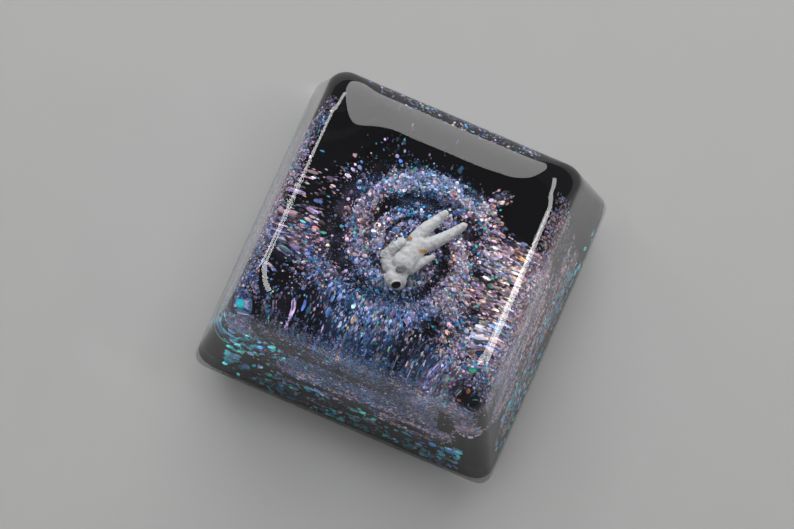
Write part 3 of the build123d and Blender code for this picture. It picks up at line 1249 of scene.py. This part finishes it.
class KEYCAP_OT_glitter_flakes(bpy.types.Operator):
    """Scatter the glitter flakes over the swirl, down the core's sides and under the clear sides"""

    bl_idname = "keycap.glitter_flakes"
    bl_label = "Glitter Flakes"

    def execute(self, context):
        form, cap = settings().swirl, settings().cap
        rng = random.Random(form.seed)
        swirl = Swirl(form, cap)
        fine = (form.dust_flake, form.small_flake)
        large = (form.small_flake, form.large_flake)
        draped = scaled(large, DRAPED_SIZES)
        coarse = scaled(large, FLECK_SIZES)
        veil = scaled((form.dust_flake, form.large_flake), VEIL_SIZES)
        finish = flake_finish()
        dust = swirl_flakes(rng, swirl, fine, form.fine_count, FINE_DIMMEST, 0.0)
        sparks = swirl_flakes(rng, swirl, large, form.large_count, LARGE_DIMMEST, LARGE_THINNED)
        add_flakes("fine_flakes", FINE_SIDES, dust, finish)
        add_flakes("large_flakes", LARGE_SIDES, sparks, finish)
        add_flakes("shoulder_flakes", FINE_SIDES, shoulder_flakes(rng, form, cap, draped), finish)
        add_flakes("side_flecks", LARGE_SIDES, side_flecks(rng, form, cap, coarse), finish)
        add_flakes("wall_flakes", FINE_SIDES, wall_flakes(rng, form, cap, veil), finish)
        return {"FINISHED"}


# Astronaut

# Balls of the figure's parts in millimetres, each as place and diameter; tapered limbs join them in turn.
TORSO = [
    ((0.62, 0.22, 7.82), 1.22),
    ((0.5, -0.45, 7.9), 1.3),
    ((0.33, -1.15, 7.95), 1.46),
    ((0.27, -1.62, 7.93), 1.12),
]
HELMET = ((0.24, -2.19, 7.93), 1.3)
LEFT_ARM = [
    ((-0.38, -1.7, 7.85), 0.8),
    ((-0.78, -1.08, 7.85), 0.72),
    ((-0.58, -0.48, 8.0), 0.62),
    ((-0.26, -0.05, 8.1), 0.5),
]
RIGHT_ARM = [
    ((0.76, -1.32, 7.92), 0.68),
    ((1.2, -0.7, 7.96), 0.56),
    ((1.52, -0.32, 8.0), 0.4),
    ((1.72, -0.12, 8.04), 0.26),
]
LEFT_LEG = [
    ((0.36, 0.45, 7.85), 0.9),
    ((0.68, 1.3, 7.92), 0.78),
    ((1.13, 2.12, 7.95), 0.54),
    ((1.32, 2.5, 8.05), 0.44),
]
RIGHT_LEG = [
    ((0.92, 0.22, 7.87), 0.9),
    ((1.68, 0.98, 7.98), 0.74),
    ((2.34, 1.84, 8.05), 0.52),
    ((2.58, 2.22, 8.16), 0.42),
]
FINGERS = [
    ((-0.2, 0.1, 8.12), 0.2),
    ((-0.36, 0.14, 8.14), 0.2),
    ((-0.52, 0.04, 8.12), 0.2),
    ((1.62, -0.02, 8.0), 0.18),
]
PACK = ((0.42, -0.85, 7.2), (1.24, 1.3, 0.5))

# Folds of the suit: the limbs' balls that have them, their places along the limb, and their size.
FOLDS = [(LEFT_ARM, 1), (LEFT_ARM, 2), (LEFT_LEG, 2), (RIGHT_LEG, 2)]
FOLD_SHIFTS = (-0.16, 0.0, 0.16)
FOLD_RADIUS_SHARE = 0.53
FOLD_THICKNESS = 0.07

# Oval discs of the figure in millimetres: radii and thickness, and where each sits.
COLLAR = ((0.58, 0.58), 0.2)
COLLAR_UP_NECK = 0.25
VISOR_RIM = ((0.31, 0.27), 0.2)
VISOR_SINK = 0.04
UNIT_BOX = ((0.3, 0.22), 0.3)
UNIT_SINK = Vector((0, 0, 0.1))
UNIT_FACING = Vector((0.05, -0.25, 1))

# Painted spots: middle and radii in millimetres, and degrees where they are turned.
VISOR_SPOT = ((0.41, -2.56, 8.46), (0.3, 0.21, 0.34), 45.0)
UNIT_SPOT = ((0.3, -1.6, 8.6), (0.34, 0.23, 0.3), 28.0)
GOLD_PATCHES = [
    ((0.05, 0.3, 8.2), (0.14, 0.17, 0.3), 10.0),
    ((1.02, -0.1, 8.25), (0.31, 0.12, 0.3), 26.0),
]
# Where the suit's painted shade is stronger, near the left arm: middle and radii in millimetres.
SUIT_SHADE_SPOT = ((-0.5, -0.75, 8.2), (0.8, 1.0, 0.7))

# The suit's skin: its grid in millimetres, how often it is softened, and how fine and deep it is crumpled.
VOXEL = 0.032
SMOOTHING = 7
CRUMPLES = [(4.5, 0.03), (11, 0.012)]
LIMB_SIDES = 24
DISC_SIDES = 32


def join_balls(bm, start, end, start_width, end_width):
    """A tapered limb between two balls."""
    axis = end - start
    bmesh.ops.create_cone(
        bm,
        cap_ends=True,
        segments=LIMB_SIDES,
        radius1=start_width / 2,
        radius2=end_width / 2,
        depth=axis.length,
        matrix=Matrix.Translation((start + end) / 2) @ standing_on(axis),
    )


def add_ball(bm, place, width):
    """A ball of a joint, a finger or the helmet."""
    bmesh.ops.create_icosphere(bm, subdivisions=3, radius=width / 2, matrix=Matrix.Translation(place))


def add_chain(bm, chain):
    """Balls along a limb, joined by tapered lengths."""
    for place, width in chain:
        add_ball(bm, place, width)
    for (start, start_width), (end, end_width) in zip(chain, chain[1:]):
        join_balls(bm, Vector(start), Vector(end), start_width, end_width)


def add_disc(bm, middle, facing, radii, thickness):
    """A short oval disc that faces a direction."""
    bmesh.ops.create_cone(
        bm,
        cap_ends=True,
        segments=DISC_SIDES,
        radius1=1,
        radius2=1,
        depth=thickness,
        matrix=Matrix.Translation(middle) @ standing_on(facing) @ Matrix.Diagonal((*radii, 1, 1)),
    )


def add_folds(bm, chain, index):
    """Soft rings of suit cloth round a joint and to either side of it."""
    middle, width = chain[index]
    before, after = Vector(chain[index - 1][0]), Vector(chain[index + 1][0])
    along = (after - before).normalized()
    radius = width * FOLD_RADIUS_SHARE
    for shift in FOLD_SHIFTS:
        add_disc(bm, Vector(middle) + along * shift, along, (radius, radius), FOLD_THICKNESS)


def figure_forms(bm):
    """All the figure's forms, overlapping, in millimetres."""
    for chain in (TORSO, LEFT_ARM, RIGHT_ARM, LEFT_LEG, RIGHT_LEG):
        add_chain(bm, chain)
    for place, width in [HELMET, *FINGERS]:
        add_ball(bm, place, width)
    for chain, index in FOLDS:
        add_folds(bm, chain, index)
    helmet, width = Vector(HELMET[0]), HELMET[1]
    neck = Vector(TORSO[-1][0])
    add_disc(bm, neck.lerp(helmet, COLLAR_UP_NECK), helmet - neck, *COLLAR)
    looking = (Vector(VISOR_SPOT[0]) - helmet).normalized()
    add_disc(bm, helmet + looking * (width / 2 - VISOR_SINK), looking, *VISOR_RIM)
    add_disc(bm, Vector(UNIT_SPOT[0]) - UNIT_SINK, UNIT_FACING, *UNIT_BOX)
    middle, size = PACK
    bmesh.ops.create_cube(bm, size=1, matrix=Matrix.Translation(middle) @ Matrix.Diagonal((*size, 1)))


def melt_together(forms):
    """One smooth skin over overlapping forms."""
    mesh = mesh_of(forms, "figure forms")
    maker = put_in_scene("figure forms", mesh)
    remesh = maker.modifiers.new("skin", "REMESH")
    remesh.mode = "VOXEL"
    remesh.voxel_size = VOXEL
    smooth = maker.modifiers.new("soften", "SMOOTH")
    smooth.factor = 0.5
    smooth.iterations = SMOOTHING
    drawn = bpy.data.meshes.new_from_object(maker.evaluated_get(bpy.context.evaluated_depsgraph_get()))
    bpy.data.objects.remove(maker)
    bpy.data.meshes.remove(mesh)
    skin = bmesh.new()
    skin.from_mesh(drawn)
    bpy.data.meshes.remove(drawn)
    return skin


class KEYCAP_OT_astronaut(bpy.types.Operator):
    """Make the floating astronaut figure"""

    bl_idname = "keycap.astronaut"
    bl_label = "Astronaut"

    def execute(self, context):
        forms = bmesh.new()
        figure_forms(forms)
        skin = melt_together(forms)
        skin.normal_update()
        for vert in skin.verts:
            heights = [noise.noise(vert.co * fineness) * depth for fineness, depth in CRUMPLES]
            vert.co += vert.normal * sum(heights)
        bmesh.ops.scale(skin, vec=(MM, MM, MM), verts=skin.verts)
        bmesh.ops.recalc_face_normals(skin, faces=skin.faces)
        shade_smooth(skin, math.pi)
        add_piece("astronaut", skin, figure_finish(), "figure_paint", FIGURE_NODE)
        return {"FINISHED"}


# Stage

# The photograph's frame and where the middle of the cap's base lies in it, in pixels.
PHOTO_WIDTH = 794
PIXELS_PER_MM = 17.38
BASE_RIGHT_OF_MIDDLE = 5.1
BASE_BELOW_MIDDLE = 16.5

FLOOR_HALF_WIDTH = 1.5
FLOOR_DULLEST = 0.97
LAMP_DISTANCE = 0.4

# The softbox at the back: heading and height of its middle and of its breadth in degrees, size and glow.
SOFTBOX_PLACE = (194, 32.5)
SOFTBOX_ALONG = (104, 0)
SOFTBOX_SIZE = (0.39, 0.51)
SOFTBOX_GLOW = 3.7

# Strip lamps that bend round the cap: the heading and height of both ends in degrees.
STRIP_BREADTH = 0.034
STRIP_GLOW = 7.0
STRIPS = [
    ("left strip", (-97, 10), (-123, 31)),
    ("left back bend", (-123, 31), (-137, 25)),
    ("left front bend", (-102, 20), (-86, 43)),
    ("left front end", (-86, 43), (-58, 54)),
    ("right strip", (99, 15), (107, 30)),
    ("right back bend", (107, 30), (132, 41)),
    ("right back end", (132, 41), (150, 30)),
    ("right front bend", (105, 26), (86, 50)),
]


def add_floor(stage):
    """A plain pale floor under the cap."""
    material, wire = new_finish("pale floor")
    place = object_place(wire)
    grain = noise_value(wire, place, FLOOR_GRAIN, detail=4.0)
    tone = grain.blend(rgba([value * FLOOR_DULLEST for value in stage.floor]), rgba(stage.floor))
    close_finish(wire, wire.add("ShaderNodeBsdfPrincipled", None, {"Base Color": tone, "Roughness": 0.7}))
    bm = bmesh.new()
    bmesh.ops.create_grid(bm, x_segments=8, y_segments=8, size=FLOOR_HALF_WIDTH)
    mesh = mesh_of(bm, "floor")
    mesh.materials.append(material)
    floor = put_in_scene("floor", mesh)


def add_lamp(name, shape, away, along, size, glow):
    """A flat lamp that faces the cap, with its first side along a direction and an even glow."""
    lamp = bpy.data.lights.new(name, "AREA")
    lamp.shape = shape
    lamp.size, lamp.size_y = size
    fill = math.pi / 4 if shape == "ELLIPSE" else 1.0
    lamp.energy = glow * math.pi * lamp.size * lamp.size_y * fill
    along = (along - away * along.dot(away)).normalized()
    facing = Matrix((along, away.cross(along), away)).transposed()
    holder = put_in_scene(name, lamp)
    holder.matrix_world = Matrix.Translation(away * LAMP_DISTANCE) @ facing.to_4x4()


def direction(azimuth, elevation):
    """A direction from the cap, by its angles round from the front to the right and above the horizon."""
    flat = math.cos(elevation)
    return Vector((math.sin(azimuth) * flat, -math.cos(azimuth) * flat, math.sin(elevation)))


def sky(heading, height):
    """The same in degrees."""
    return direction(math.radians(heading), math.radians(height))


def add_strip(name, start, end):
    """A straight strip lamp between two directions."""
    first, last = sky(*start), sky(*end)
    size = (2 * LAMP_DISTANCE * math.tan(first.angle(last) / 2), STRIP_BREADTH)
    add_lamp(name, "RECTANGLE", (first + last).normalized(), last - first, size, STRIP_GLOW)


def add_camera(stage):
    """A long lens at the photograph's angle, with the cap's base where the photograph has it."""
    away = direction(stage.azimuth, stage.elevation)
    right = Vector((math.cos(stage.azimuth), math.sin(stage.azimuth), 0))
    up = away.cross(right)
    lean = Matrix.Rotation(-stage.roll, 3, away)
    right, up = lean @ right, lean @ up
    pixel = MM / PIXELS_PER_MM
    aim = -right * BASE_RIGHT_OF_MIDDLE * pixel + up * BASE_BELOW_MIDDLE * pixel
    camera = bpy.data.cameras.new("camera")
    camera.lens = PIXELS_PER_MM / MM * stage.distance / PHOTO_WIDTH * camera.sensor_width
    camera.clip_start = 0.01
    facing = Matrix((right, up, away)).transposed()
    holder = put_in_scene("camera", camera)
    holder.matrix_world = Matrix.Translation(aim + away * stage.distance) @ facing.to_4x4()
    bpy.context.scene.camera = holder


def set_world(stage):
    """Even light from all round."""
    world = bpy.data.worlds.new("surroundings")
    world.use_nodes = True
    world.node_tree.nodes["Background"].inputs["Color"].default_value = rgba(stage.world)
    bpy.context.scene.world = world


class KEYCAP_OT_stage(bpy.types.Operator):
    """Set the floor, the lamps and the camera"""

    bl_idname = "keycap.stage"
    bl_label = "Stage"

    def execute(self, context):
        stage = settings().stage
        add_floor(stage)
        place, along = sky(*SOFTBOX_PLACE), sky(*SOFTBOX_ALONG)
        add_lamp("back softbox", "ELLIPSE", place, along, SOFTBOX_SIZE, SOFTBOX_GLOW)
        for strip in STRIPS:
            add_strip(*strip)
        set_world(stage)
        add_camera(stage)
        context.scene.view_settings.view_transform = "Standard"
        return {"FINISHED"}


class KEYCAP_PT_looks(bpy.types.Panel):
    """Lists the keycap's pieces in the sidebar"""

    bl_label = "Keycap"
    bl_idname = "KEYCAP_PT_looks"
    bl_space_type = "VIEW_3D"
    bl_region_type = "UI"
    bl_category = "Keycap"

    def draw(self, context):
        for operator in OPERATORS:
            self.layout.operator(operator.bl_idname)


OPERATORS = [
    KEYCAP_OT_clear_body,
    KEYCAP_OT_black_core,
    KEYCAP_OT_glitter_bed,
    KEYCAP_OT_glitter_flakes,
    KEYCAP_OT_astronaut,
    KEYCAP_OT_stage,
]
CLASSES = [CapForm, SwirlForm, ResinColours, StageLook, KeycapSettings, *OPERATORS, KEYCAP_PT_looks]


def register():
    """Makes the classes and the scene's settings known to Blender."""
    for cls in CLASSES:
        bpy.utils.register_class(cls)
    bpy.types.Scene.keycap = bpy.props.PointerProperty(type=KeycapSettings)


def unregister():
    """Takes them away again."""
    del bpy.types.Scene.keycap
    for cls in reversed(CLASSES):
        bpy.utils.unregister_class(cls)


def main():
    """Makes every piece and the stage."""
    register()
    bpy.ops.keycap.clear_body()
    bpy.ops.keycap.black_core()
    bpy.ops.keycap.glitter_bed()
    bpy.ops.keycap.glitter_flakes()
    bpy.ops.keycap.astronaut()
    bpy.ops.keycap.stage()


if __name__ == "__main__":
    main()
